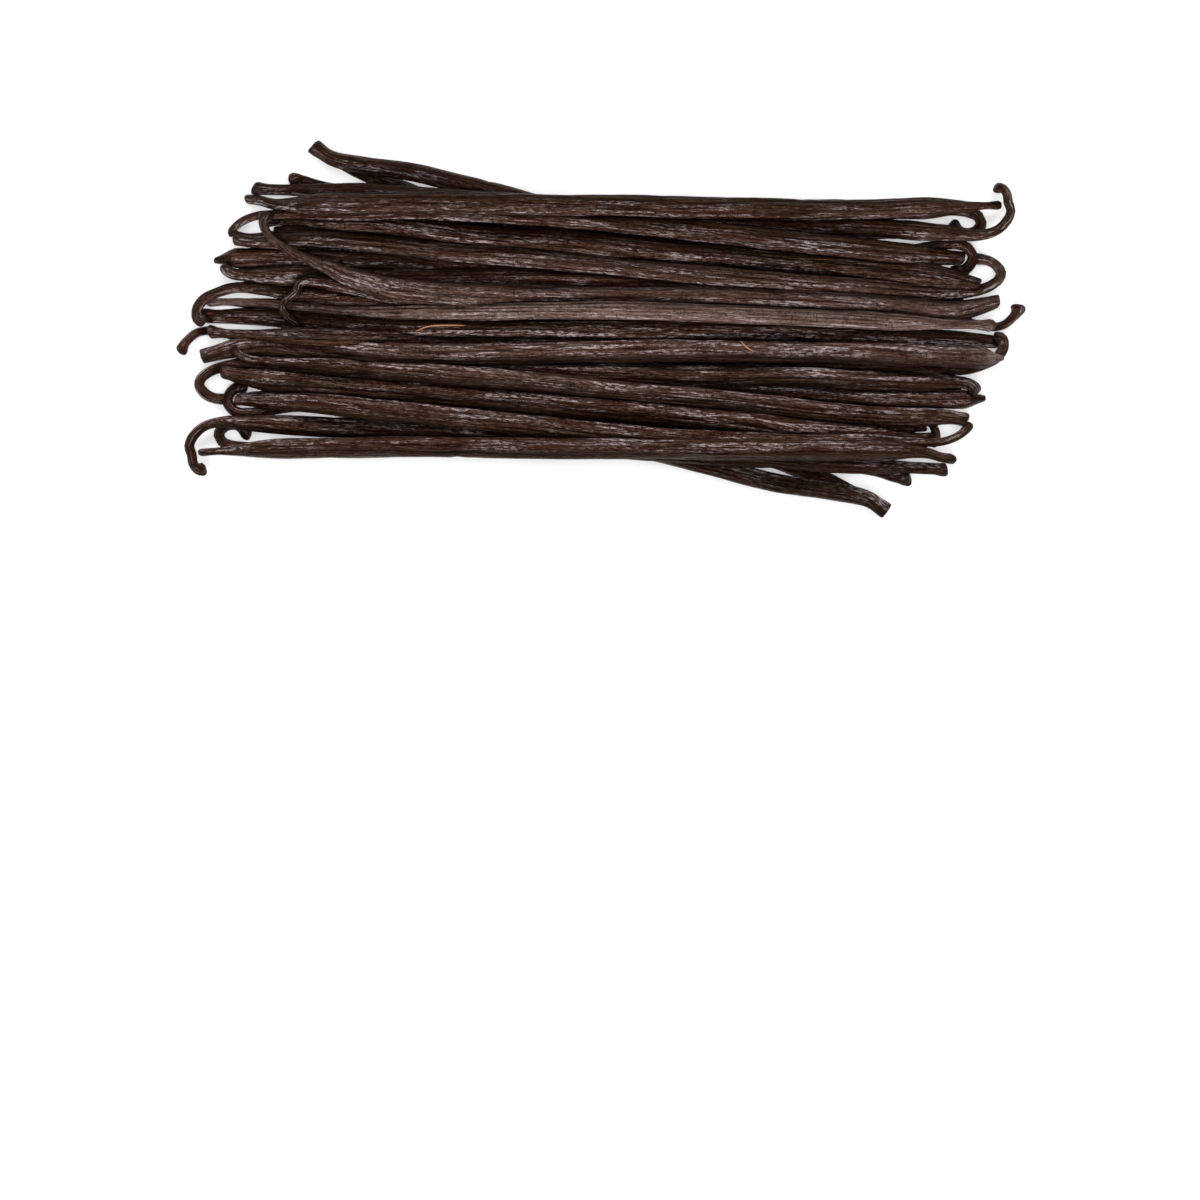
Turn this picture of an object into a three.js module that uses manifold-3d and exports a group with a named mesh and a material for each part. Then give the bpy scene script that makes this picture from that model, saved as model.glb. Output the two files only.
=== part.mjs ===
// A bundle of cured vanilla pods, laid side by side in a low pile.
// Millimetres, +Z up, +X along the pods. The origin is under the middle of the bundle,
// on the surface that it lies on.
import * as THREE from 'three';
import { mergeVertices } from 'three/addons/utils/BufferGeometryUtils.js';
import Module from 'manifold-3d';

const wasm = await Module();
wasm.setup();

// Sizes that every pod shares.
const podFlatness = 0.82; // height of a pod over its width
const knobLength = 2; // of the swelling at a pod's end
const capRise = 0.2; // how far the end itself is domed
const podSides = 6;
const lowSides = 5; // of the pods that hardly show from above
const lowRank = 4; // up to this rank in the middle

// Distances from a pod's end, and the steps between them, of its rings of corners.
const curledStem = 10; // a stem longer than this is curled
const curledRings = [0, 1.2, 3.4, 6.4, 9.8, 14, 21];
const plainRings = [0, 1.5, 8];
const ringStep = 27;
const bedRingStep = 42;

// How the pods come to rest on each other.
const squeeze = 0.86; // how far soft pods press into each other, as a share of their size
const clearOfTable = 0.15; // the foot of the core is what the bundle stands on
const strandStep = 3; // between the places where a pod is tested against its neighbours
const settleRounds = 600;
const fall = 0.008; // how far a pod comes down in a round
const limpness = 0.5; // how much of its unevenness a pod gives up in a round
const stiffSpan = 2; // places to each side that a place is evened out with
const rankRise = 0.4; // height between two ranks before the pods come down
const rankReach = 60; // from the middle, where a pod's rank is that of its end

// The core that fills the middle of the pile, and its lozenge foot, which stands steadier
// than a foot with many corners.
const coreLength = 116;
const coreWidth = 38;
const coreTop = 5;
const coreCorner = 12;
const coreSlope = 2; // how much its upper and lower edges are sloped
const footLength = 124;
const footWidth = 48;
const footHeight = 1;

// How a pod ends: the width there, the length of the thin stem, the length over which
// the pod then grows to its full width, and how much the cut end is swollen.
const ends = {
  stem: { width: 1.7, run: 11, grow: 24, knob: 1.45 },
  hook: { width: 2.1, run: 13, grow: 26, knob: 1.3 },
  thin: { width: 1.6, run: 3, grow: 19, knob: 1.1 },
  blunt: { width: 2.8, run: 0, grow: 13, knob: 1 },
  cut: { width: 3.1, run: 0, grow: 12, knob: 1.1 },
};

// The pods that show, from above: the centreline from the left end to the right end.
// rank says what lies on what, at the left end, in the middle and at the right end.
// A pod with twin is met again half a turn round the middle of the bundle.
const pods = [
  {
    name: 'outermost', width: 4.1, left: 'cut', right: 'blunt', rank: [3, 3, 1], twin: true,
    path: [
      [-63.3, 40.6], [-59.3, 37.8], [-52.7, 36.2], [-43.9, 35.0], [-31.3, 32.1], [-21.9, 29.8],
      [-10.9, 27.0], [11.1, 23.2], [35.3, 19.3], [61.7, 14.4], [73.8, 12.2],
    ],
  },
  {
    name: 'wrinkled', width: 4.0, left: 'thin', right: 'blunt', rank: [2, 1, 1], twin: true,
    path: [
      [-61.1, 38.0], [-56.0, 35.5], [-51.0, 33.3], [-43.9, 31.0], [-39.5, 29.3], [-30.7, 26.7],
      [-17.5, 23.7], [8.9, 19.3], [39.7, 14.4], [66.1, 10.5],
    ],
  },
  {
    name: 'rim', width: 3.9, left: 'stem', right: 'stem', rank: [2, 2, 4], twin: true,
    path: [
      [-66.6, 33.1], [-63.7, 31.8], [-59.3, 30.9], [-43.9, 28.9], [-21.9, 27.2], [0.1, 26.7],
      [33.1, 26.3], [66.1, 26.5], [77.1, 26.3], [81.1, 25.9], [83.5, 25.0], [84.3, 23.3],
      [83.0, 21.6], [80.4, 21.2], [77.4, 22.9],
    ],
  },
  {
    name: 'crook', width: 3.8, left: 'cut', right: 'hook', rank: [9, 6, 15], twin: true,
    path: [
      [-75.4, 30.8], [-65.9, 30.4], [-54.9, 30.2], [-32.9, 29.4], [-10.9, 27.4], [11.1, 25.2],
      [33.1, 23.4], [55.1, 22.1], [77.1, 20.6], [83.7, 20.4], [87.0, 21.7], [89.2, 23.7],
      [90.3, 25.9], [89.7, 28.1], [89.0, 29.6], [87.0, 31.4],
    ],
  },
  {
    name: 'edge', width: 4.2, left: 'thin', right: 'thin', rank: [12, 14, 14], twin: true,
    path: [
      [-78.0, 28.9], [-73.6, 28.1], [-65.9, 27.6], [-43.9, 27.0], [0.1, 26.5], [44.1, 26.1],
      [71.6, 26.6], [88.8, 27.3],
    ],
  },
  {
    name: 'lean', width: 4.4, left: 'hook', right: 'blunt', rank: [13, 13, 12], twin: true,
    path: [
      [-81.3, 21.0], [-79.1, 23.2], [-75.8, 24.8], [-71.4, 25.2], [-43.9, 25.6], [-32.9, 25.4],
      [-10.9, 24.1], [11.1, 21.9], [44.1, 18.6], [66.1, 16.2], [80.6, 15.5],
    ],
  },
  {
    name: 'stout', width: 5.2, left: 'thin', right: 'blunt', rank: [8, 10, 10], twin: true,
    path: [
      [-74.3, 23.7], [-65.9, 23.7], [-43.9, 22.3], [-32.9, 20.6], [-10.9, 18.6], [11.1, 16.6],
      [44.1, 14.0], [77.1, 10.9], [83.9, 9.6],
    ],
  },
  {
    name: 'crossing', width: 4.8, left: 'stem', right: 'cut', rank: [20, 11, 13], twin: true,
    path: [
      [-73.1, 25.6], [-74.3, 23.2], [-72.9, 20.4], [-70.3, 18.2], [-65.9, 15.7], [-59.3, 13.0],
      [-56.0, 11.4], [-48.3, 8.9], [-43.9, 7.8], [-32.9, 6.3], [0.1, 5.8], [22.1, 6.1],
      [44.1, 5.4], [66.1, 4.1], [77.1, 3.6], [88.1, 6.1],
    ],
  },
  {
    name: 'shaded', width: 4.0, left: 'blunt', right: 'stem', rank: [4, 4, 8], twin: true,
    path: [
      [-71.4, 21.9], [-65.9, 21.7], [-32.9, 20.6], [0.1, 19.3], [33.1, 17.9], [66.1, 17.5],
      [76.0, 18.6], [81.1, 18.6], [83.3, 15.7], [82.0, 13.5], [78.2, 12.2],
    ],
  },
  {
    name: 'looped', width: 4.4, left: 'blunt', right: 'hook', rank: [12, 11, 11], twin: true,
    path: [
      [-80.2, 19.9], [-76.9, 19.3], [-65.9, 19.5], [-54.9, 18.8], [-32.9, 16.6], [-10.9, 14.6],
      [11.1, 12.4], [55.1, 8.7], [77.1, 7.6], [82.6, 8.3], [85.5, 9.1], [87.9, 10.6],
      [88.7, 12.2], [87.7, 14.0], [85.9, 15.0], [83.7, 15.1],
    ],
  },
  {
    name: 'pointed', width: 4.1, left: 'thin', right: 'blunt', rank: [7, 4, 3], twin: true,
    path: [
      [-84.6, 15.5], [-81.3, 15.7], [-65.9, 15.5], [-43.9, 14.4], [0.1, 11.6], [44.1, 8.3],
      [66.1, 6.9], [80.4, 6.5],
    ],
  },
  {
    name: 'sunken', width: 3.8, left: 'thin', right: 'blunt', rank: [5, 3, 2], twin: true,
    path: [[-79.5, 13.5], [-65.9, 12.9], [-54.9, 12.7], [-21.9, 11.3], [22.1, 8.3], [61.7, 6.1]],
  },
  {
    name: 'flared', width: 4.4, left: 'hook', right: 'stem', rank: [13, 12, 7], twin: true,
    path: [
      [-82.6, 14.3], [-82.5, 13.2], [-81.1, 11.9], [-77.6, 11.0], [-65.9, 10.5], [-43.9, 10.0],
      [-10.9, 10.0], [22.1, 8.9], [44.1, 7.8], [66.1, 5.0], [77.1, 2.8], [84.8, 0.6],
      [88.8, 0.6], [91.0, 2.1], [93.0, 4.8],
    ],
  },
  {
    name: 'curled', width: 3.9, left: 'hook', right: 'blunt', rank: [12, 3, 1], twin: true,
    path: [
      [-87.0, 1.7], [-88.8, 2.2], [-89.1, 4.1], [-87.6, 6.4], [-84.6, 7.9], [-80.2, 9.0],
      [-74.7, 8.7], [-69.2, 7.6], [-54.9, 6.1], [0.1, 4.3], [33.1, 3.9], [61.7, 3.9],
    ],
  },
  {
    name: 'tendril', width: 3.7, left: 'stem', right: 'blunt', rank: [10, 5, 2], twin: true,
    path: [
      [-66.1, 0.3], [-67.9, 1.4], [-69.6, 3.2], [-70.1, 5.2], [-69.4, 6.9], [-67.7, 8.7],
      [-65.6, 9.4], [-61.5, 8.7], [-54.9, 7.6], [-43.9, 5.8], [-32.9, 4.7], [0.1, 2.1],
      [66.1, 0.6],
    ],
  },
  {
    name: 'topmost', width: 4.0, left: 'blunt', right: 'hook', rank: [8, 19, 20], twin: false,
    path: [
      [-87.2, 5.6], [-79.1, 5.4], [-65.9, 4.1], [-54.9, 3.4], [0.1, 3.4], [22.1, 3.0],
      [44.1, 2.3], [66.1, 1.9], [77.1, 1.7], [84.8, 1.0], [86.6, -0.1],
    ],
  },
  {
    name: 'buried', width: 4.0, left: 'hook', right: 'blunt', rank: [6, 3, 6], twin: false,
    path: [
      [-86.6, 0.1], [-84.8, -1.0], [-77.1, -1.7], [-66.1, -2.1], [-44.1, -2.8], [-0.1, -3.4],
      [54.9, -3.4], [65.9, -4.1], [79.1, -5.4], [87.2, -5.6],
    ],
  },
  {
    name: 'middle', width: 3.9, left: 'blunt', right: 'blunt', rank: [9, 14, 9], twin: false,
    path: [
      [-87.2, 2.3], [-74.7, 1.9], [-68.1, 1.4], [-54.9, 0.3], [-43.9, -0.3], [0.1, -0.5],
      [44.1, -0.8], [87.2, -2.1],
    ],
  },
];

// Under them lies a bed of straight pods, each with a twin.
const bedWidth = 4.3;
const bedRows = [
  { from: [-70, 25.0], to: [68, 21.3] },
  { from: [-69, 19.5], to: [67, 15.8] },
  { from: [-68, 14.5], to: [66, 11.5] },
  { from: [-70, 10.6], to: [68, 7.0] },
  { from: [-69, 3.3], to: [67, 3.0] },
];
bedRows.forEach(({ from, to }, row) => {
  const middle = [0, (from[1] + to[1]) / 2];
  pods.push({
    name: `bed${row}`, width: bedWidth, left: 'blunt', right: 'blunt', rank: [0, 0, 0], twin: true,
    path: [from, middle, to],
  });
});

// The same pod half a turn round the middle, still listed from left to right.
const turned = (pod) => ({
  ...pod,
  name: `${pod.name}_turned`,
  left: pod.right,
  right: pod.left,
  rank: [...pod.rank].reverse(),
  path: pod.path.map(([x, y]) => [-x, -y]).reverse(),
});

const smooth = (t) => {
  const share = Math.min(Math.max(t, 0), 1);
  return share * share * (3 - 2 * share);
};

// Half the width of a pod at distance from its left end.
function halfWidth(pod, distance) {
  const taper = (end, run) => {
    const { width, run: stem, grow, knob } = ends[end];
    const base = width + (pod.width - width) * smooth((run - stem) / grow);
    const swell = 1 + (knob - 1) * smooth(1 - run / knobLength);
    return (base * swell) / 2;
  };
  return Math.min(taper(pod.left, distance), taper(pod.right, pod.length - distance));
}

// The rank of a pod at x, between those of its ends and its middle.
function rankAt({ rank: [left, middle, right] }, x) {
  const share = Math.min(Math.abs(x) / rankReach, 1);
  return middle + ((x < 0 ? left : right) - middle) * share;
}

function strand(pod) {
  const points = pod.path.map(([x, y]) => new THREE.Vector3(x, y, 0));
  const curve = new THREE.CatmullRomCurve3(points, false, 'centripetal');
  curve.arcLengthDivisions = 400;
  const made = { ...pod, curve, length: curve.getLength() };
  const steps = Math.round(made.length / strandStep);
  made.step = made.length / steps;
  made.places = curve.getSpacedPoints(steps).map(({ x, y }, i) => {
    const rank = rankAt(pod, x);
    return { x, y, rank, half: halfWidth(made, i * made.step), z: bedWidth / 2 + rankRise * rank };
  });
  return made;
}

// Where the strand other passes under a place, seen from above.
function nearest(place, other) {
  let best = { gap: Infinity };
  for (let i = 1; i < other.places.length; i += 1) {
    const a = other.places[i - 1];
    const b = other.places[i];
    const [dx, dy] = [b.x - a.x, b.y - a.y];
    const along = ((place.x - a.x) * dx + (place.y - a.y) * dy) / (dx * dx + dy * dy);
    const share = Math.min(Math.max(along, 0), 1);
    const gap = Math.hypot(place.x - a.x - share * dx, place.y - a.y - share * dy);
    if (gap < best.gap) {
      best = { gap, share, a, b };
    }
  }
  return best;
}

// Every place of a strand that another one passes under, and how far above that it must be.
function findContacts(strands) {
  const contacts = [];
  for (const own of strands) {
    for (const other of strands.filter((one) => one !== own)) {
      for (const upper of own.places) {
        const { gap, share, a, b } = nearest(upper, other);
        const reach = squeeze * (upper.half + THREE.MathUtils.lerp(a.half, b.half, share));
        const rank = THREE.MathUtils.lerp(a.rank, b.rank, share);
        if (gap < reach && rank < upper.rank) {
          const lift = podFlatness * Math.sqrt(reach ** 2 - gap ** 2);
          contacts.push({ upper, a, b, share, lift });
        }
      }
    }
  }
  return contacts;
}

// Lets the pods come down together: where two press on each other both give way, and each
// stays nearly straight.
function settle(strands) {
  const contacts = findContacts(strands);
  const places = strands.flatMap((one) => one.places);
  const push = (place, distance) => {
    place.push += distance;
    place.pushes += 1;
  };
  for (let round = 0; round < settleRounds; round += 1) {
    for (const place of places) {
      place.z -= fall;
      place.push = 0;
      place.pushes = 0;
    }
    for (const { upper, a, b, share, lift } of contacts) {
      const overlap = THREE.MathUtils.lerp(a.z, b.z, share) + lift - upper.z;
      if (overlap > 0) {
        push(upper, overlap / 2);
        push(share < 0.5 ? a : b, -overlap / 2);
      }
    }
    for (const place of places) {
      place.z += place.push / Math.max(place.pushes, 1);
    }
    for (const { places: own } of strands) {
      const heights = own.map(({ z }) => z);
      const last = heights.length - 1;
      heights[0] = 2 * heights[1] - heights[2];
      heights[last] = 2 * heights[last - 1] - heights[last - 2];
      own.forEach((place, i) => {
        const span = Math.min(stiffSpan, i, last - i);
        const even = (heights[i - span] + heights[i + span]) / 2;
        const height = THREE.MathUtils.lerp(heights[i], even, limpness);
        place.z = Math.max(height, place.half * podFlatness);
      });
    }
  }
}

// Distances along a pod where it has a ring of corners: close together on a curled end.
function rings(pod) {
  const endRings = (end) => (ends[end].run > curledStem ? curledRings : plainRings);
  const first = endRings(pod.left);
  const last = endRings(pod.right);
  const from = first.at(-1);
  const inner = pod.length - last.at(-1) - from;
  const count = Math.ceil(inner / (pod.rank[1] === 0 ? bedRingStep : ringStep));
  const middle = Array.from({ length: count - 1 }, (_, i) => from + ((i + 1) * inner) / count);
  return [...first, ...middle, ...last.map((distance) => pod.length - distance).reverse()];
}

function solidFrom(geometry) {
  const bare = geometry.clone();
  bare.deleteAttribute('normal');
  bare.deleteAttribute('uv');
  const merged = mergeVertices(bare);
  const corners = merged.index.array;
  const faces = [];
  for (let i = 0; i < corners.length; i += 3) {
    const [a, b, c] = corners.subarray(i, i + 3);
    if (a !== b && b !== c && c !== a) {
      faces.push(a, b, c);
    }
  }
  return new wasm.Manifold(new wasm.Mesh({
    numProp: 3,
    vertProperties: merged.attributes.position.array,
    triVerts: new Uint32Array(faces),
  }));
}

// A straight turned blank, bent along the pod's own line.
function podSolid(pod) {
  const distances = rings(pod);
  const profile = distances.map((distance) => (
    new THREE.Vector2(halfWidth(pod, distance), distance)));
  const blank = new THREE.LatheGeometry([
    new THREE.Vector2(0, -capRise), ...profile, new THREE.Vector2(0, pod.length + capRise),
  ], pod.rank[1] <= lowRank ? lowSides : podSides);
  const corners = blank.attributes.position;
  const point = new THREE.Vector3();
  for (let i = 0; i < corners.count; i += 1) {
    point.fromBufferAttribute(corners, i);
    const distance = Math.min(Math.max(point.y, 0), pod.length);
    const share = Math.min(distance / pod.length, 1);
    const centre = pod.curve.getPointAt(share);
    const forward = pod.curve.getTangentAt(share);
    const right = new THREE.Vector3(forward.y, -forward.x, 0);
    const place = distance / pod.step;
    const from = Math.min(Math.floor(place), pod.places.length - 2);
    centre.z = THREE.MathUtils.lerp(pod.places[from].z, pod.places[from + 1].z, place - from);
    centre.z += clearOfTable + podFlatness * point.z;
    centre.addScaledVector(right, point.x).addScaledVector(forward, point.y - distance);
    corners.setXYZ(i, centre.x, centre.y, centre.z);
  }
  return solidFrom(blank);
}

// The core: a low block with round corners and sloped edges, clear of the table.
function blockSolid() {
  const [x, y] = [coreLength / 2 - coreSlope, coreWidth / 2 - coreSlope];
  const outline = new THREE.Shape();
  outline.moveTo(-x + coreCorner, -y);
  outline.absarc(x - coreCorner, -y + coreCorner, coreCorner, -Math.PI / 2, 0);
  outline.absarc(x - coreCorner, y - coreCorner, coreCorner, 0, Math.PI / 2);
  outline.absarc(-x + coreCorner, y - coreCorner, coreCorner, Math.PI / 2, Math.PI);
  outline.absarc(-x + coreCorner, -y + coreCorner, coreCorner, Math.PI, 1.5 * Math.PI);
  const block = new THREE.ExtrudeGeometry(outline, {
    depth: coreTop - clearOfTable - 2 * coreSlope,
    bevelEnabled: true,
    bevelThickness: coreSlope,
    bevelSize: coreSlope,
    bevelSegments: 1,
    curveSegments: 4,
  });
  block.translate(0, 0, clearOfTable + coreSlope);
  return solidFrom(block);
}

// What it stands on: a four-cornered plate, its long diagonal along the pods.
function footSolid() {
  const foot = new THREE.CylinderGeometry(1, 1, footHeight, 4);
  foot.rotateX(Math.PI / 2);
  foot.scale(footLength / 2, footWidth / 2, 1);
  foot.translate(0, 0, footHeight / 2);
  return solidFrom(foot);
}

const strands = pods.flatMap((pod) => (pod.twin ? [pod, turned(pod)] : [pod])).map(strand);
settle(strands);
const core = blockSolid().add(footSolid());
const pile = strands.map(podSolid).reduce((whole, pod) => whole.add(pod), core);

// Gaps that the joined pods seal are filled by keeping only the outer surface.
const bundle = pile.decompose().reduce((a, b) => (b.volume() > a.volume() ? b : a));
const { vertProperties, triVerts } = bundle.getMesh();
const geometry = new THREE.BufferGeometry();
geometry.setAttribute('position', new THREE.BufferAttribute(vertProperties, 3));
geometry.setIndex(new THREE.BufferAttribute(triVerts, 1));

const curedPod = new THREE.MeshStandardMaterial({ color: 0x3b2b27, roughness: 0.5, metalness: 0 });
const mesh = new THREE.Mesh(geometry, curedPod);
mesh.name = 'vanilla_pods';

const model = new THREE.Group();
model.add(mesh);

export default model;
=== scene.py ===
"""A low bundle of cured vanilla pods on a pale table, one sidebar button for each group.

Lengths in the lists below are millimetres, as a cook would measure a pod; everything
that is handed to Blender is in metres.
"""

import math
from collections import namedtuple
from types import SimpleNamespace

import bmesh
import bpy
import numpy as np
from bpy.props import FloatProperty, FloatVectorProperty, PointerProperty
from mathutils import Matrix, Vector


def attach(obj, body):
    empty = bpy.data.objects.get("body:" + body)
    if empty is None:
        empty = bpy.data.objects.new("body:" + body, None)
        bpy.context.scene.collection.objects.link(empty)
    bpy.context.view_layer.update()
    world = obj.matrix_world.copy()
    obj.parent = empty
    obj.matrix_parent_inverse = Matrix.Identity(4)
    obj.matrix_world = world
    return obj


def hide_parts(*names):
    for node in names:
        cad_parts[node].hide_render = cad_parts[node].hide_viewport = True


bl_info = {
    "name": "Vanilla Pod Bundle",
    "version": (1, 0, 0),
    "blender": (4, 5, 0),
    "location": "View3D > Sidebar > Vanilla",
    "description": "Lays a bundle of cured vanilla pods over its solid core",
    "category": "Add Mesh",
}

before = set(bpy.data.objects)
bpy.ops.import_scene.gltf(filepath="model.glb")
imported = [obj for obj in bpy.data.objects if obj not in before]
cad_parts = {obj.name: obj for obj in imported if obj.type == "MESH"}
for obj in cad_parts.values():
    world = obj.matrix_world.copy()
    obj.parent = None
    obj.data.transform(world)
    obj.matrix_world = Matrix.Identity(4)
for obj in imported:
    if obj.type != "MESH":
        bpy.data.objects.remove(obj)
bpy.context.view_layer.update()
NODE = "vanilla_pods"
MM = 0.001

# The pods as they lie. Each one has its width, what its left and right ends are, its rank
# in the pile at the left end, in the middle and at the right end, and its line from above.
Pod = namedtuple("Pod", "name width left right rank path")
End = namedtuple("End", "width run grow knob flat")

# An end's width, how far that width runs, over what length the pod grows to its own width,
# how much its last millimetres swell, and how flat it is cut, from 0 for round to 1.
ENDS = {
    "stem": End(1.9, 11, 22, 1.5, 0),
    "knob": End(2.0, 8, 15, 1.3, 0),
    "claw": End(2.5, 4, 10, 1.15, 0),
    "tip": End(2.0, 0, 8, 1, 0),
    "tendril": End(1.7, 9, 13, 1.15, 0),
    "hook": End(2.3, 13, 24, 1.15, 0),
    "slim": End(1.8, 9, 22, 1.1, 0),
    "crook": End(2.1, 12, 20, 1.2, 0),
    "bulb": End(1.8, 3.5, 22, 1.85, 0),
    "loop": End(2.4, 14, 24, 1.35, 0),
    "stub": End(2.1, 3, 17, 1.05, 0.2),
    "thin": End(1.6, 3, 19, 1.15, 0),
    "point": End(1.3, 0, 5.5, 1, 0),
    "blunt": End(2.8, 0, 13, 1, 0.2),
    "cut": End(3.1, 0, 12, 1.05, 1),
    "trimmed": End(2.5, 7, 18, 1.2, 0.3),
    "neck": End(1.6, 3, 14.5, 1.15, 0),
}

TWINS = (
    Pod("outermost", 3.9, "cut", "blunt", (3, 3, 1), (
        (-63.3, 40.6), (-59.3, 37.8), (-52.7, 36.3), (-43.9, 35.1), (-39.5, 34.3), (-31.3, 32.2),
        (-21.9, 29.8), (-10.9, 27.0), (11.1, 23.2), (35.3, 19.3), (61.7, 14.4), (73.8, 12.2))),
    Pod("wrinkled", 4.0, "thin", "blunt", (2, 1, 1), (
        (-61.1, 38.0), (-56.0, 35.5), (-51.0, 33.3), (-43.9, 30.8), (-39.5, 29.0), (-30.7, 26.7),
        (-17.5, 23.7), (8.9, 19.3), (39.7, 14.4), (66.1, 10.5))),
    Pod("rim", 3.9, "bulb", "loop", (2, 2, 4), (
        (-68.7, 32.3), (-67.3, 33.1), (-65.0, 32.9), (-62.4, 32.0), (-59.3, 31.1), (-43.9, 28.9),
        (-21.9, 27.2), (0.1, 26.7), (33.1, 26.3), (66.1, 26.5), (77.1, 26.3), (81.1, 25.9),
        (83.5, 25.0), (84.3, 23.3), (83.0, 21.6), (80.4, 21.2), (77.2, 23.4))),
    Pod("crook", 4.0, "trimmed", "crook", (9, 6, 15), (
        (-76.9, 31.2), (-74.2, 30.9), (-65.9, 30.6), (-54.9, 29.9), (-43.9, 29.1), (-32.9, 28.4),
        (-10.9, 27.0), (11.1, 25.2), (33.1, 23.4), (55.1, 22.1), (77.1, 20.9), (83.7, 20.6),
        (87.2, 21.5), (89.6, 23.5), (90.7, 25.9), (90.1, 28.0), (89.9, 29.6), (89.0, 30.9),
        (86.9, 31.1))),
    Pod("edge", 4.5, "stub", "neck", (12, 14, 14), (
        (-78.6, 28.8), (-75.5, 28.4), (-72.5, 27.5), (-69.0, 27.1), (-65.9, 27.1), (-43.9, 27.0),
        (0.1, 26.5), (44.1, 26.0), (71.6, 26.5), (88.8, 27.3))),
    Pod("lean", 4.4, "slim", "blunt", (11.5, 12, 12), (
        (-82.1, 20.8), (-79.9, 23.2), (-76.3, 24.8), (-71.4, 25.2), (-43.9, 25.6), (-32.9, 25.4),
        (-10.9, 24.1), (11.1, 21.9), (44.1, 18.6), (66.1, 16.2), (80.6, 15.5))),
    Pod("stout", 5.2, "thin", "blunt", (8, 10, 10), (
        (-74.3, 23.7), (-65.9, 23.7), (-43.9, 22.3), (-32.9, 20.6), (-10.9, 18.6), (11.1, 16.6),
        (44.1, 14.0), (77.1, 10.9), (83.9, 9.6))),
    Pod("shaded", 4.0, "tip", "loop", (4, 4, 9.5), (
        (-72.2, 21.6), (-65.9, 21.7), (-32.9, 20.6), (0.1, 19.3), (33.1, 17.9), (66.1, 16.9),
        (72.0, 17.9), (76.0, 18.6), (80.6, 18.3), (82.4, 15.9), (81.2, 13.5), (77.8, 12.2))),
    Pod("looped", 4.4, "blunt", "hook", (12, 11, 9), (
        (-81.3, 20.3), (-79.6, 19.8), (-76.9, 19.4), (-65.9, 19.5), (-54.9, 18.8), (-32.9, 16.6),
        (-10.9, 14.6), (11.1, 12.4), (55.1, 8.7), (77.1, 7.6), (82.6, 8.3), (85.5, 9.1),
        (87.9, 10.6), (88.7, 12.2), (87.7, 14.0), (85.7, 15.2), (82.4, 15.6))),
    Pod("pointed", 4.1, "point", "blunt", (7, 4, 3), (
        (-85.4, 15.3), (-81.3, 15.6), (-65.9, 15.5), (-43.9, 14.4), (0.1, 11.6), (44.1, 8.3),
        (66.1, 6.9), (80.4, 6.5))),
    Pod("sunken", 3.8, "stub", "blunt", (5, 3, 2), (
        (-80.0, 13.4), (-76.0, 12.9), (-65.9, 12.7), (-54.9, 12.5), (-21.9, 11.3), (22.1, 8.3),
        (61.7, 6.1))),
    Pod("flared", 4.4, "claw", "stem", (13, 10, 7), (
        (-83.0, 14.4), (-82.9, 13.4), (-81.6, 12.3), (-78.0, 11.7), (-65.9, 11.4), (-55.0, 11.1),
        (-43.9, 10.6), (-10.9, 10.1), (22.1, 8.9), (44.1, 7.8), (66.1, 5.0), (77.1, 2.8),
        (84.8, 0.5), (88.8, 0.7), (91.2, 2.4), (92.3, 4.0), (92.6, 5.6))),
    Pod("curled", 3.9, "hook", "blunt", (12, 3, 1), (
        (-87.0, 1.7), (-88.8, 2.2), (-89.1, 4.1), (-87.6, 6.4), (-84.6, 7.9), (-80.2, 9.0),
        (-74.7, 8.7), (-69.2, 7.8), (-54.9, 6.8), (0.1, 4.3), (33.1, 3.9), (61.7, 3.9))),
)

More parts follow.
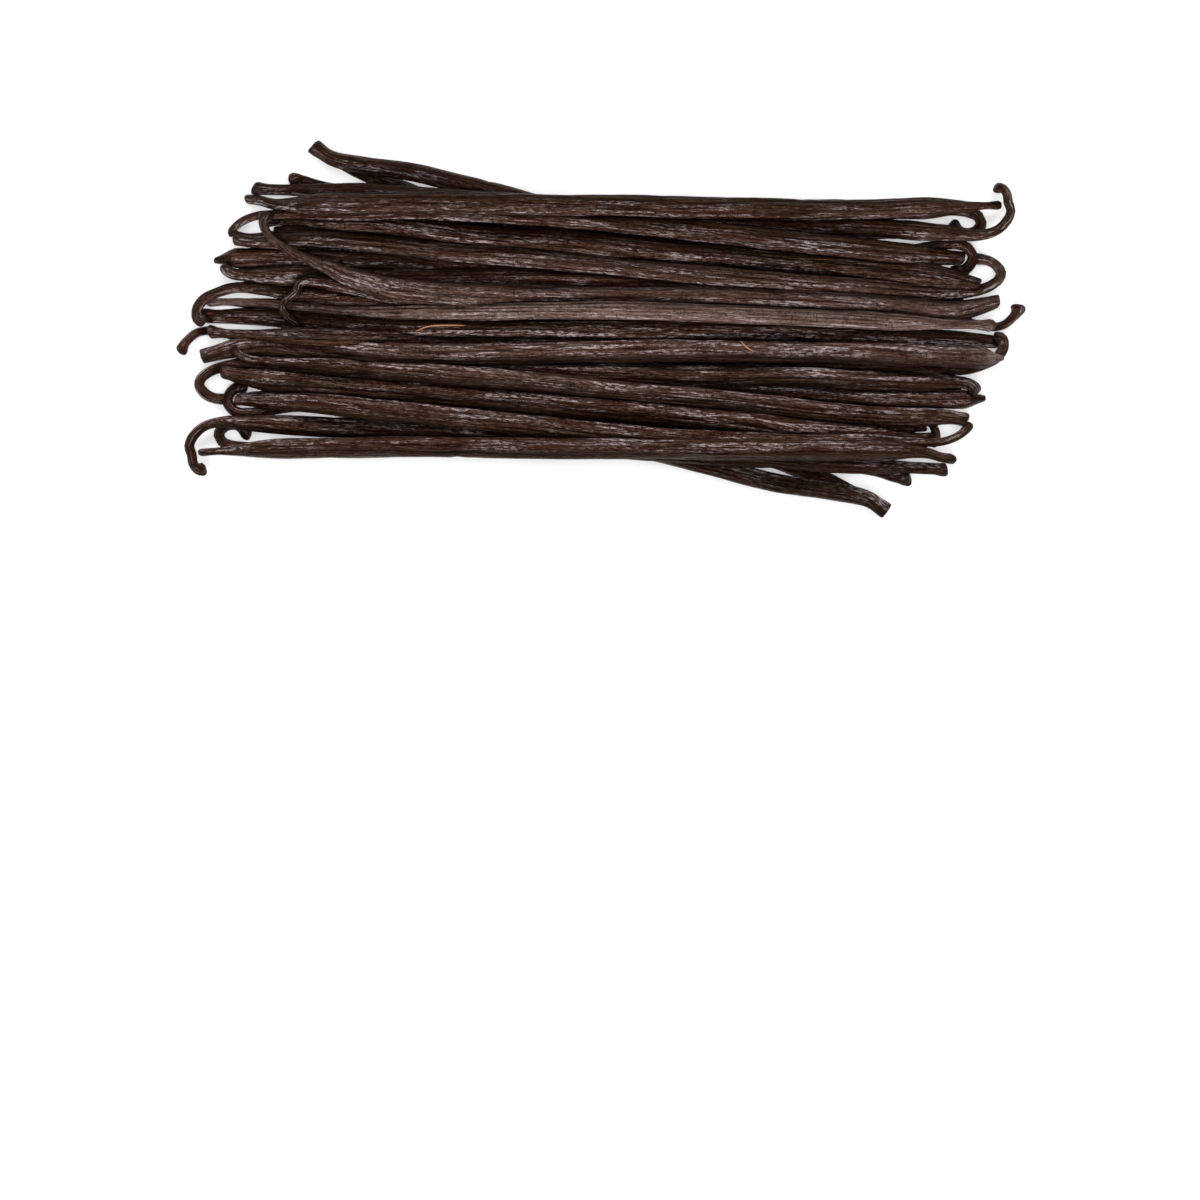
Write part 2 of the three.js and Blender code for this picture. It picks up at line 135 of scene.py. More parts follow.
# The pods of the middle, and those that only one side has.
SINGLE = (
    Pod("topmost", 4.0, "thin", "knob", (8, 19, 20), (
        (-87.2, 5.9), (-82.0, 6.0), (-76.6, 5.6), (-65.9, 4.5), (-54.9, 3.6), (0.1, 3.4),
        (22.1, 3.0), (44.1, 2.1), (66.1, 1.2), (77.1, 0.85), (84.4, 0.7), (86.2, 0.4),
        (86.7, -0.3))),
    Pod("buried", 4.0, "knob", "thin", (14, 3, 2), (
        (-86.8, -0.5), (-84.8, -0.9), (-77.1, -1.4), (-66.1, -1.9), (-44.1, -2.8), (-0.1, -3.4),
        (54.9, -3.8), (65.9, -4.6), (76.6, -5.4))),
    Pod("tendril", 3.7, "tendril", "blunt", (14.5, 4, 1), (
        (-66.2, 0.5), (-68.4, 2.0), (-69.9, 4.2), (-69.6, 5.7), (-67.9, 7.1), (-66.8, 8.4),
        (-66.5, 9.7), (-64.6, 10.4), (-61.0, 10.2), (-55.9, 9.2), (-43.9, 6.6), (-32.9, 4.9),
        (0.1, 2.1), (66.1, 0.6))),
    Pod("kinked", 3.7, "blunt", "crook", (1, 3, 13.5), (
        (-66.1, -0.6), (-0.1, -2.1), (32.9, -4.9), (43.9, -7.4), (52.0, -8.1), (60.0, -8.4),
        (68.0, -8.6), (73.2, -9.1), (75.5, -8.8), (76.0, -7.6), (75.4, -6.6))),
    Pod("crossing", 4.8, "stem", "cut", (20, 11, 13), (
        (-73.1, 25.6), (-74.3, 23.2), (-72.9, 20.4), (-70.3, 18.2), (-65.9, 15.7), (-59.3, 13.0),
        (-56.0, 11.4), (-48.3, 9.1), (-43.9, 8.2), (-32.9, 7.3), (-20.9, 7.0), (0.1, 6.4),
        (22.1, 6.4), (44.1, 5.7), (66.1, 4.3), (77.1, 3.7), (88.1, 6.1))),
    Pod("level", 4.6, "cut", "point", (13, 11, 14.5), (
        (-88.1, -6.1), (-77.1, -3.7), (-66.1, -4.3), (-44.1, -5.7), (-22.1, -6.2), (-5.0, -5.8),
        (8.9, -5.4), (30.0, -5.5), (57.0, -5.9), (75.0, -6.5), (84.0, -6.6), (89.2, -6.5))),
    Pod("diving", 2.6, "thin", "stem", (-9, -9, 2), (
        (58.0, -14.2), (65.9, -16.2), (70.3, -18.4), (72.9, -20.4), (74.3, -23.2),
        (73.1, -25.6))),
    Pod("bent", 3.7, "slim", "thin", (13.5, -6, -6), (
        (-80.4, -3.4), (-80.2, -5.0), (-78.6, -6.4), (-75.5, -7.2), (-68.0, -7.7), (-60.0, -8.2),
        (-50.0, -9.2), (-40.0, -10.3))),
    Pod("middle", 3.9, "blunt", "blunt", (9, 14, 9), (
        (-88.0, 2.7), (-74.7, 2.5), (-68.1, 1.8), (-54.9, 0.5), (-43.9, -0.2), (0.1, -0.5),
        (44.1, -0.9), (74.7, -2.3), (88.4, -2.9))),
)

# Those of them that get the light of the near side, and with it their painted highlight and shade.
NEAR_SIDE = ("buried", "kinked", "level", "diving", "bent")

# The straight pods of the bed under them, each from its left end to its right end.
BED_WIDTH = 4.3
BED_ROWS = (
    ((-70, 25.0), (68, 21.3)), ((-69, 19.5), (67, 15.8)), ((-68, 14.5), (66, 11.5)),
    ((-70, 10.6), (68, 7.0)), ((-69, 3.3), (67, 3.0)))

# How the skins differ: tone is how pale, bloom how much grey-white bloom and painted
# highlight lies on the ridges, olive how green-brown the flanks are. A pod that isn't listed is
# drawn by lot.
Skin = namedtuple("Skin", "tone bloom olive")
SKINS = {
    "topmost": Skin(1.2, 0.5, 0.1),
    "crossing": Skin(0.7, 0.8, 0.1),
    "level": Skin(0.6, 0.8, 0.1),
    "edge": Skin(0.4, 0.35, 0.75),
    "stout": Skin(0.3, 0.45, 0.8),
    "looped": Skin(0.6, 0.6, 0.45),
    "flared": Skin(0.6, 0.75, 0.1),
    "outermost": Skin(0.5, 0.5, 0.6),
    "lean": Skin(0.5, 0.6, 0.4),
    # This pod lies in shade: painted dark, with hardly any bloom or painted highlight.
    "shaded": Skin(0.1, 0.1, 0.1),
    "middle": Skin(0.4, 0.7, 0.15),
}

# Spots near the pods' ends: how far along the pod from its left end, or from its right one
# if negative, which way round from the underside, how wide, and how pale or how red.
Spot = namedtuple("Spot", "pod along turn size pale red")
SPOTS = (
    Spot("middle", 1.7, 3.7, 0.8, 0, 1),
    Spot("middle", -2.2, 3.5, 0.9, 0, 1),
    Spot("middle", -4.5, 3.9, 0.5, 0, 0.7),
    Spot("topmost", -0.9, 2.9, 1.0, 1, 0),
    Spot("level", -2.4, 3.1, 3.4, 0.9, 0),
    Spot("buried", 0.8, 3.4, 0.9, 0.9, 0),
    Spot("lean_turned", 0.8, 3.1, 1.1, 0.5, 0.2),
    Spot("lean", -0.8, 3.1, 1.1, 0.5, 0.2),
    Spot("crossing", -0.3, 3.4, 1.0, 0, 0.6),
)

# The grains of the skin's pattern: how wide and how long one is, how much finer detail it
# has, and a number that sets its pattern apart from the others.
Grain = namedtuple("Grain", "across along detail offset")
GRAINS = {
    "streak": Grain(0.5, 9.0, 2.0, 0.0),
    "thread": Grain(0.28, 2.4, 1.0, 7.0),
    "dash": Grain(0.25, 1.3, 0.0, 13.0),
    "patch": Grain(2.6, 18.0, 1.5, 19.0),
    "spread": Grain(1.5, 14.0, 1.5, 57.0),
    "grit": Grain(0.24, 0.3, 0.0, 71.0),
    "crackle": Grain(1.2, 0.45, 1.5, 31.0),
    "crackled": Grain(3.0, 5.0, 1.0, 43.0),
}

# Two stray plant fibres on the top of the pile, from above, and how far each one arches.
FIBRES = (
    (((-40.6, -1.0), (-37.5, 0.1), (-34.0, 0.3), (-29.6, 0.3)), 0.5),
    (((30.7, -3.1), (32.0, -4.5), (33.8, -5.6)), 0.3),
)
FIBRE_WIDTH = 0.3
FIBRE_SIDES = 8
FIBRE_LIFT = 0.25

# The low core that fills the middle of the pile.
CORE_SIZE = (100, 34, 2.2)
CORE_CLEAR = 0.1
CORE_BEVEL = 0.8

# How the pods come to rest, the same rule as for the solid that they stand for.
SQUEEZE = 0.86
CLEAR_OF_TABLE = 0.15
STRAND_STEP = 3.0
SETTLE_ROUNDS = 600
FALL = 0.008
LIMPNESS = 0.5
STIFF_SPAN = 2
RANK_RISE = 0.4
RANK_REACH = 60.0

# How finely a pod is made: corners round it and rings along it.
SHOWN_MESH = (72, 140)
BED_MESH = (36, 110)

# The rings of a pod's end: how far each one is from the end, and its share of the width
# there at a round end and at a cut one.
END_RINGS = (0.0, 0.1, 0.3, 0.6, 1.0, 1.5, 2.1)
ROUND_END = (0.34, 0.62, 0.83, 0.95, 1, 1, 1)
CUT_END = (0.84, 0.96, 1, 1, 1, 1, 1)

# Where an end's swelling is thickest, and how far it reaches.
KNOB_PLACE = 1.1
KNOB_REACH = 1.2

# The step of a pod's smoothed middle line, and how many steps the smoothing takes together.
LINE_STEP = 0.5
LINE_WINDOW = 9

# How far from a pod the pods beside it are looked for.
GAP_REACH = 9.0

# Each pod reads its own stretch of the skin's pattern, out of this many millimetres.
PATTERN_LENGTH = 4000
SEED = 11

# The photograph's side in pixels, and the row that the bundle's middle is on.
PHOTO_SIDE = 1200
BUNDLE_ROW = 327.5

# How high the pods lie that the camera's field of view is measured on, in millimetres.
PODS_HEIGHT = 8

# Half the table's side in metres, and the room's light on the pods over its own paleness.
TABLE_HALF_SIDE = 0.85
ROOM_LIGHT = 0.07


def colour_setting(name, description, default):
    """A setting that is a colour."""
    return FloatVectorProperty(
        name=name, description=description, default=default, subtype="COLOR", size=3,
        min=0, max=1)


class PodSettings(bpy.types.PropertyGroup):
    """Sizes and colours of the pods."""

    flatness: FloatProperty(
        name="Flatness", description="Height of a pod over its width", default=0.82, min=0.4, max=1)
    wrinkle: FloatProperty(
        name="Wrinkle depth", description="Depth of the long wrinkles over a pod's half width",
        default=0.14, min=0.01, max=0.3)
    # The dark colour paints the shade in the furrows and between the pods, and the real dark cracks
    # and ends.
    skin_dark: colour_setting("Dark skin", "Colour in the furrows", (0.004, 0.0009, 0.0004))
    # A red-black that, with the dark colour, paints the shade in the furrows and between the pods.
    skin_red: colour_setting(
        "Red furrows", "Colour of the furrows where the skin is thin", (0.013, 0.0016, 0.0008))
    skin_brown: colour_setting("Brown skin", "Colour of the ridges", (0.049, 0.0197, 0.0103))
    # Also the painted shade on each pod's outer flank, turned away from the light.
    skin_olive: colour_setting(
        "Olive skin", "Colour of the green-brown patches", (0.036, 0.0185, 0.0035))
    skin_pale: colour_setting("Pale skin", "Colour of the driest pods", (0.2, 0.132, 0.11))
    # Real grey bloom, but laid only where light falls, so it is a painted highlight too.
    skin_bloom_and_highlight: colour_setting(
        "Bloom", "Colour of the dry grey bloom in streaks", (0.19, 0.136, 0.126))
    skin_scar: colour_setting("Cut face", "Colour of the cut ends", (0.16, 0.045, 0.02))
    # A painted highlight: bright dashes on the lit flanks and tops.
    skin_painted_glint: colour_setting(
        "Glint", "Colour of the brightest dashes of the bloom", (0.46, 0.405, 0.42))


class StageSettings(bpy.types.PropertyGroup):
    """The table, the lights and the camera."""

    table_colour: colour_setting("Table", "Colour of the table top", (0.93, 0.93, 0.93))
    field: FloatProperty(
        name="Field of view", description="Width of table that the camera sees",
        default=0.264, unit="LENGTH")
    camera_height: FloatProperty(
        name="Camera height", description="Height of the camera over the pods",
        default=1.2, unit="LENGTH")


def smooth(t):
    """A soft step from 0 to 1."""
    share = np.clip(t, 0, 1)
    return share * share * (3 - 2 * share)


def turned(pod):
    """The same pod half a turn round the middle, still from left to right."""
    path = tuple((-x, -y) for x, y in reversed(pod.path))
    return Pod(pod.name + "_turned", pod.width, pod.right, pod.left, pod.rank[::-1], path)


def bed_pods():
    """The pods of the bed, each with its twin."""
    made = []
    for row, (start, end) in enumerate(BED_ROWS):
        path = (start, (0, (start[1] + end[1]) / 2), end)
        pod = Pod(f"bed{row}", BED_WIDTH, "blunt", "blunt", (0, 0, 0), path)
        made += [pod, turned(pod)]
    return made


def through(points, divisions=400):
    """A smooth line through points, as many finer points along it."""
    knots = np.array(points, float)
    knots = np.concatenate([[2 * knots[0] - knots[1]], knots, [2 * knots[-1] - knots[-2]]])
    place = np.linspace(0, len(points) - 1, divisions + 1)
    first = np.minimum(place.astype(int), len(points) - 2)
    a, b, c, d = (knots[first + k] for k in range(4))
    spans = [np.sqrt(np.linalg.norm(q - p, axis=1))[:, None] for p, q in ((a, b), (b, c), (c, d))]
    t0 = 0
    t1 = spans[0]
    t2 = t1 + spans[1]
    t3 = t2 + spans[2]
    t = t1 + (place - first)[:, None] * spans[1]
    ab = (a * (t1 - t) + b * (t - t0)) / (t1 - t0)
    bc = (b * (t2 - t) + c * (t - t1)) / (t2 - t1)
    cd = (c * (t3 - t) + d * (t - t2)) / (t3 - t2)
    abc = (ab * (t2 - t) + bc * (t - t0)) / (t2 - t0)
    bcd = (bc * (t3 - t) + cd * (t - t1)) / (t3 - t1)
    return (abc * (t2 - t) + bcd * (t - t1)) / (t2 - t1)


def unit(rows):
    """Each row as a direction of length 1."""
    return rows / np.linalg.norm(rows, axis=1)[:, None]


def read_at(distance, stations, rows):
    """Rows that are known at stations along a pod, read at distances between them."""
    return np.stack([np.interp(distance, stations, column) for column in rows.T], 1)


class Strand:
    """A pod's line with its length, and the places where it is tested against others."""

    def __init__(self, pod, flatness):
        self.pod = pod
        self.line = through(pod.path)
        steps = np.linalg.norm(np.diff(self.line, axis=0), axis=1)
        self.along = np.concatenate([[0], np.cumsum(steps)])
        self.length = self.along[-1]
        count = round(self.length / STRAND_STEP)
        self.stations = np.linspace(0, self.length, count + 1)
        self.xy = self.at(self.stations)
        self.half = self.half_width(self.stations)
        left, middle, right = pod.rank
        x = self.xy[:, 0]
        share = np.minimum(np.abs(x) / RANK_REACH, 1)
        self.rank = middle + (np.where(x < 0, left, right) - middle) * share
        self.turned = pod.name.endswith("_turned") or pod.name in NEAR_SIDE
        self.z = BED_WIDTH / 2 + RANK_RISE * self.rank
        self.flatness = flatness

    def spine(self):
        """The settled middle line, a point every millimetre, and half the width there."""
        distance = np.arange(0, self.length, 1.0)
        z = np.interp(distance, self.stations, self.z)
        return np.concatenate([self.at(distance), z[:, None]], 1), self.half_width(distance)

    def at(self, distance):
        """Where the line is, from above, at distances from the left end."""
        return read_at(distance, self.along, self.line)

    def half_width(self, distance):
        """Half the pod's width at distances from the left end."""

        def taper(end, run):
            width = end.width + (self.pod.width - end.width) * smooth((run - end.run) / end.grow)
            swelling = (end.knob - 1) * np.exp(-(((run - KNOB_PLACE) / KNOB_REACH) ** 2))
            return width * (1 + swelling) / 2

        left = taper(ENDS[self.pod.left], distance)
        return np.minimum(left, taper(ENDS[self.pod.right], self.length - distance))


def contacts(strands, starts):
    """Each place that lies over another pod: the place, what is under it and the lift."""
    xy = np.concatenate([s.xy for s in strands])
    half = np.concatenate([s.half for s in strands])
    rank = np.concatenate([s.rank for s in strands])
    owner = np.concatenate([np.full(len(s.xy), i) for i, s in enumerate(strands)])
    found = []
    for i, other in enumerate(strands):
        a, b = other.xy[:-1], other.xy[1:]
        step = b - a
        share = ((xy[:, None] - a) * step).sum(2) / (step * step).sum(1)
        share = np.clip(share, 0, 1)
        gap = np.linalg.norm(xy[:, None] - a - share[:, :, None] * step, axis=2)
        best = gap.argmin(1)
        rows = np.arange(len(xy))
        share, gap = share[rows, best], gap[rows, best]
        under_half = other.half[best] * (1 - share) + other.half[best + 1] * share
        under_rank = other.rank[best] * (1 - share) + other.rank[best + 1] * share
        reach = SQUEEZE * (half + under_half)
        over = (owner != i) & (gap < reach) & (under_rank < rank)
        lift = other.flatness * np.sqrt(np.maximum(reach**2 - gap**2, 0))
        under = starts[i] + best
        found.append(np.stack([rows, under, share, lift], 1)[over])
    return np.concatenate(found)


def settle(strands):
    """Lets the pods come down together: where two press on each other both give way."""
    starts = np.cumsum([0, *[len(s.z) for s in strands]])
    touching = contacts(strands, starts)
    upper, under = touching[:, 0].astype(int), touching[:, 1].astype(int)
    share, lift = touching[:, 2], touching[:, 3]
    z = np.concatenate([s.z for s in strands])
    floor = np.concatenate([s.half * s.flatness for s in strands])
    local = np.concatenate([np.arange(len(s.z)) for s in strands])
    last = np.concatenate([np.full(len(s.z), len(s.z) - 1) for s in strands])
    span = np.minimum(np.minimum(local, last - local), STIFF_SPAN)
    place = np.arange(len(z))
    first_ones, last_ones = starts[:-1], starts[1:] - 1
    nearer = np.where(share < 0.5, under, under + 1)
    for _ in range(SETTLE_ROUNDS):
        z -= FALL
        overlap = z[under] * (1 - share) + z[under + 1] * share + lift - z[upper]
        pressed = overlap > 0
        push, pushes = np.zeros_like(z), np.zeros_like(z)
        np.add.at(push, upper[pressed], overlap[pressed] / 2)
        np.add.at(push, nearer[pressed], -overlap[pressed] / 2)
        np.add.at(pushes, upper[pressed], 1)
        np.add.at(pushes, nearer[pressed], 1)
        z += push / np.maximum(pushes, 1)
        z[first_ones] = 2 * z[first_ones + 1] - z[first_ones + 2]
        z[last_ones] = 2 * z[last_ones - 1] - z[last_ones - 2]
        even = (z[place - span] + z[place + span]) / 2
        z = np.maximum(z + (even - z) * LIMPNESS, floor)
    for strand, start, end in zip(strands, starts, starts[1:], strict=False):
        strand.z = z[start:end]


def wander(rng, distance, wavelength):
    """A smooth random line between about -1 and 1 along a pod."""
    knots = np.arange(-1, int(distance.max() / wavelength) + 4)
    values = rng.uniform(-1, 1, len(knots))
    share = distance / wavelength
    lower = np.floor(share).astype(int)
    t = smooth(share - lower)
    return values[lower + 1] * (1 - t) + values[lower + 2] * t


def mesh_of(bm, name):
    """Turns a bmesh into a mesh and frees it."""
    mesh = bpy.data.meshes.new(name)
    bm.to_mesh(mesh)
    bm.free()
    return mesh


def blank_pod(name, around, rings):
    """A closed straight tube of height 1 and radius 1 with its end discs."""
    bm = bmesh.new()
    bmesh.ops.create_cone(
        bm, cap_ends=True, cap_tris=True, segments=around, radius1=1, radius2=1, depth=1)
    lengthwise = [e for e in bm.edges if abs(e.verts[0].co.z - e.verts[1].co.z) > 0.5]
    bmesh.ops.subdivide_edges(bm, edges=lengthwise, cuts=rings - 2, use_grid_fill=True)
    bmesh.ops.translate(bm, verts=bm.verts, vec=(0, 0, 0.5))
    bmesh.ops.recalc_face_normals(bm, faces=bm.faces)
    return mesh_of(bm, name)


def coordinates(mesh):
    """A mesh's corners as rows of x, y and z."""
    co = np.zeros(len(mesh.vertices) * 3)
    mesh.vertices.foreach_get("co", co)
    return co.reshape(-1, 3)


def ridges(rng, angle, s, count):
    """Long rounded ridges, wandering along the pod, and the narrow furrows between them."""
    bend = 0.35 * np.sin(angle + rng.uniform(0, 6.3) + 0.9 * wander(rng, s, 23))
    bend += 0.2 * np.sin(2 * angle + rng.uniform(0, 6.3) + 1.3 * wander(rng, s, 17))
    phase = count / 2 * (angle + bend) + rng.uniform(0, 3.1) + 0.8 * wander(rng, s, 31)
    height = np.abs(np.cos(phase))
    return height**0.8 - 0.64, smooth(1 - height / 0.4) * smooth(1 + wander(rng, s, 9))


def ring_distances(length, rings):
    """How far along the pod each ring stands: closer together towards the ends."""
    inner = rings - 2 * len(END_RINGS)
    t = np.linspace(0, 1, inner + 2)[1:-1]
    even = t - 0.5 * np.sin(2 * math.pi * t) / (2 * math.pi)
    first = END_RINGS[-1]
    ends = np.array(END_RINGS)
    return np.concatenate([ends, first + even * (length - 2 * first), length - ends[::-1]])


def centre_line(strand, rng):
    """The pod's settled line in small steps, with its own small wavering."""
    fine = np.arange(0, strand.length + LINE_STEP, LINE_STEP)
    z = np.interp(fine, strand.stations, strand.z)
    z = np.pad(z, LINE_WINDOW // 2, mode="reflect", reflect_type="odd")
    z = np.convolve(z, np.ones(LINE_WINDOW) / LINE_WINDOW, "valid")
    centre = np.concatenate([strand.at(fine), z[:, None]], 1)
    forward = unit(np.gradient(centre, axis=0))
    right = unit(np.stack([forward[:, 1], -forward[:, 0], np.zeros(len(fine))], 1))
    waver = 0.16 * wander(rng, fine, 14) + 0.07 * wander(rng, fine, 6)
    body = smooth(fine / 25) * smooth((strand.length - fine) / 25)
    return fine, centre + right * (waver * body)[:, None], forward, right


def gaps(corners, ring, centres, spines, flatness):
    """How far each corner of a pod is from the nearest other pod, in millimetres."""
    gap = np.full(len(corners), GAP_REACH)
    for points, half in spines:
        apart = np.linalg.norm(centres[:, None] - points, axis=2)
        nearest = apart.argmin(1)
        rows = (apart.min(1) < GAP_REACH)[ring]
        if rows.any():
            there = nearest[ring[rows]]
            away = (corners[rows] - points[there]) / (1, 1, flatness)
            gap[rows] = np.minimum(gap[rows], np.linalg.norm(away, axis=1) - half[there])
    return gap


def pod_surface(strand, blank, settings, rng, spines):
    """Where the blank's corners go, in millimetres, and what the skin's pattern reads there."""
    rings = len(np.unique(np.round(blank[:, 2], 5)))
    ring = np.round(blank[:, 2] * (rings - 1)).astype(int)
    angle = np.arctan2(blank[:, 0], -blank[:, 1])
    middle_corner = np.hypot(blank[:, 0], blank[:, 1]) < 0.5
    stands = ring_distances(strand.length, rings)
    s = stands[ring]
    fine, centre, forward, right = centre_line(strand, rng)

    # Slow swellings along the pod, and short ones along its thin stem.
    at_left = ring < rings / 2
    from_end = np.minimum(s, strand.length - s)
    half = strand.half_width(s)
    thick = smooth((half * 2 - 1.6) / 2.2)
    half = half * (1 + thick * (0.045 * wander(rng, s, 15) + 0.03 * wander(rng, s, 5)))
    half *= 1 + (1 - thick) * 0.06 * wander(rng, s, 2.5)

    # Soft lobes round it, two sets of long wrinkles, and a few dents right round.
    lobes = 0.07 * np.cos(3 * angle + rng.uniform(0, 6.3) + 1.4 * wander(rng, s, 40))
    lobes += 0.045 * np.cos(2 * angle + rng.uniform(0, 6.3) + 1.2 * wander(rng, s, 26))
    broad, broad_furrow = ridges(rng, angle, s, int(rng.integers(8, 11)))
    narrow, narrow_furrow = ridges(rng, angle, s, int(rng.integers(17, 22)))
    depth = settings.wrinkle * (0.8 + 0.35 * wander(rng, s, 19))
    relief = broad * depth * (0.35 + 0.65 * thick) + narrow * depth * 0.4
    for _ in range(int(rng.integers(2, 5))):
        dent = rng.uniform(0.12, 0.88) * strand.length
        near = np.exp(-(((s - dent) / 0.9) ** 2))
        relief = relief - 0.06 * near * (1 + 0.6 * np.sin(5 * angle + dent))
    girth = half * (1 + lobes * thick + relief)

    # The ends: lumpy and closed by narrowing rings, a cut one askew and a little hollow.
    near_end = smooth(1 - from_end / 3.5)
    for folds, size in ((2, 0.14), (3, 0.1), (5, 0.05)):
        lump = np.where(at_left, *rng.uniform(0, 6.3, 2))
        girth *= 1 + size * near_end * np.cos(folds * angle + lump)
    flat = np.where(at_left, ENDS[strand.pod.left].flat, ENDS[strand.pod.right].flat)
    step = np.minimum(np.minimum(ring, rings - 1 - ring), len(END_RINGS) - 1)
    rounded, cut = np.array(ROUND_END)[step], np.array(CUT_END)[step]
    girth *= np.where(middle_corner, 0, rounded + (cut - rounded) * flat)
    x = girth * np.sin(angle)
    z = -girth * np.cos(angle) * settings.flatness
    skew = np.where(at_left, rng.uniform(-0.4, 0.4), rng.uniform(-0.4, 0.4))
    inward = (skew * x + 0.5 * skew * z) * smooth(1 - from_end / 2)
    inward += 0.25 * flat * middle_corner
    inward *= np.where(at_left, 1, -1)

    right, forward = read_at(s, fine, right), read_at(s, fine, forward)
    up = np.cross(right, forward)
    place = read_at(s, fine, centre)
    place = place + right * x[:, None] + up * z[:, None] + forward * inward[:, None]
    place[:, 2] = np.maximum(place[:, 2] + CLEAR_OF_TABLE, 0.02)
    centres = read_at(stands, fine, centre)
    cut_face = smooth(flat * 2 - 1) * (step < 1) * 0.6
    return place, {
        "skin_place": np.stack([x, z, s], 1),
        # crest, furrow, facing_up and gap steer the painted shade in wrinkles, on sides and between
        # pods; the flank turned to the bundle's middle gets the painted highlight, the other one
        # painted shade.
        "crest": relief / settings.wrinkle,
        "furrow": np.maximum(broad_furrow, 0.75 * narrow_furrow),
        "facing_up": -np.cos(angle),
        "gap": gaps(place, ring, centres, spines, settings.flatness),
        "from_end": np.where(middle_corner, 0, from_end),
        "scar": np.maximum(cut_face, spots(strand, s, angle, half, "red")),
        "pale_spot": spots(strand, s, angle, half, "pale"),
        "inner_side": np.sin(angle) * (-1 if strand.turned else 1),
    }


def spots(strand, s, angle, half, kind):
    """How much of one kind of spot each corner has."""
    amount = np.zeros(len(s))
    for spot in SPOTS:
        if spot.pod == strand.pod.name:
            middle = spot.along % strand.length
            round_pod = (angle - spot.turn + math.pi) % (2 * math.pi) - math.pi
            apart = np.hypot(s - middle, round_pod * half) / (spot.size / 2)
            amount = np.maximum(amount, getattr(spot, kind) * smooth(1.7 - apart))
    return amount


def uv_strips(mesh, blank, copies):
    """A UV map with one strip for each pod: the pod's length across, its girth up."""
    mesh.uv_layers.new(name="OFBake")
    corner = np.zeros(len(mesh.loops), int)
    mesh.loops.foreach_get("vertex_index", corner)
    sides = np.zeros(len(mesh.polygons), int)
    mesh.polygons.foreach_get("loop_total", sides)
    face = np.repeat(np.arange(len(sides)), sides)
    count = len(blank)
    pod, local = corner // count, corner % count
    corners = blank[local]
    radius = np.linalg.norm(corners[:, :2], axis=1)
    turn = np.arctan2(corners[:, 0], -corners[:, 1]) / (2 * math.pi) + 0.5
    rim = radius > 0.5
    high = np.full(len(sides), -1.0)
    np.maximum.at(high, face[rim], turn[rim])
    wraps = rim & (high[face] - turn > 0.5)
    turn = turn + wraps
    total, rims = np.zeros(len(sides)), np.zeros(len(sides))
    np.add.at(total, face[rim], turn[rim])
    np.add.at(rims, face[rim], 1)
    turn = np.where(rim, turn, (total / np.maximum(rims, 1))[face])
    edge, tip = 0.006, 0.001
    t = corners[:, 2]
    length = edge + t * (1 - 2 * edge)
    length = np.where(rim, length, np.where(t < 0.5, tip, 1 - tip))
    gap = 0.04
    height = (pod + gap + np.clip(turn, 0, 1) * (1 - 2 * gap)) / copies
    mesh.uv_layers["OFBake"].data.foreach_set("uv", np.stack([length, height], 1).ravel())


def set_attribute(mesh, name, values):
    """Stores a number or three for each corner of a mesh."""
    kind, field = ("FLOAT", "value") if values.ndim == 1 else ("FLOAT_VECTOR", "vector")
    attribute = mesh.attributes.new(name, kind, "POINT")
    attribute.data.foreach_set(field, np.ascontiguousarray(values, float).ravel())


def placed(name, data):
    """An object of data, linked into the scene."""
    made = bpy.data.objects.new(name, data)
    bpy.context.scene.collection.objects.link(made)
    return made


def finish_piece(mesh, name, material):
    """Makes an object of a mesh and lets it stand for the solid bundle."""
    mesh.polygons.foreach_set("use_smooth", np.ones(len(mesh.polygons), bool))
    mesh.materials.append(material)
    mesh.update()
    piece = placed(name, mesh)
    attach(piece, "root")
    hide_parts(NODE)


def pod_skin(strand, rng):
    """A pod's tone, bloom and olive, from the list or by lot."""
    name = strand.pod.name.removesuffix("_turned")
    drawn = rng.uniform(0, 1, 3)
    if name in SKINS:
        return np.clip(np.array(SKINS[name]) + (drawn - 0.5) * 0.12, 0, 1)
    return np.array([0.15 + 0.5 * drawn[0], 0.25 + 0.55 * drawn[1], 0.5 * drawn[2] ** 1.5])


def make_pods(name, strands, everyone, fineness, material, settings):
    """One piece holding the pods of strands, as they lie among everyone."""
    around, rings = fineness
    single = blank_pod(name + "_blank", around, rings)
    blank = coordinates(single)
    bm = bmesh.new()
    for _ in strands:
        bm.from_mesh(single)
    mesh = mesh_of(bm, name)
    bpy.data.meshes.remove(single)
    surfaces, looks, readings = [], [], []
    for strand in strands:
        seed = sum(ord(letter) * (i + 1) for i, letter in enumerate(strand.pod.name))
        rng = np.random.default_rng(SEED + seed)
        looks.append(np.tile(pod_skin(strand, rng), (len(blank), 1)))
        spines = [other.spine() for other in everyone if other is not strand]
        place, reading = pod_surface(strand, blank, settings, rng, spines)
        surfaces.append(place * MM)
        reading["skin_place"][:, 2] += rng.uniform(0, PATTERN_LENGTH)
        readings.append(reading)
    mesh.vertices.foreach_set("co", np.concatenate(surfaces).ravel())
    uv_strips(mesh, blank, len(strands))
    set_attribute(mesh, "skin_look", np.concatenate(looks))
    for key in readings[0]:
        set_attribute(mesh, key, np.concatenate([reading[key] for reading in readings]))
    finish_piece(mesh, name, material)


def pile_top(strands, place):
    """How high the pile's top is under a place, in millimetres."""
    top = 0.0
    for strand in strands:
        points, half = strand.spine()
        away = np.linalg.norm(points[:, :2] - place, axis=1)
        near = away.argmin()
        if away[near] < half[near]:
            rise = strand.flatness * math.sqrt(half[near] ** 2 - away[near] ** 2)
            top = max(top, points[near, 2] + rise)
    return top


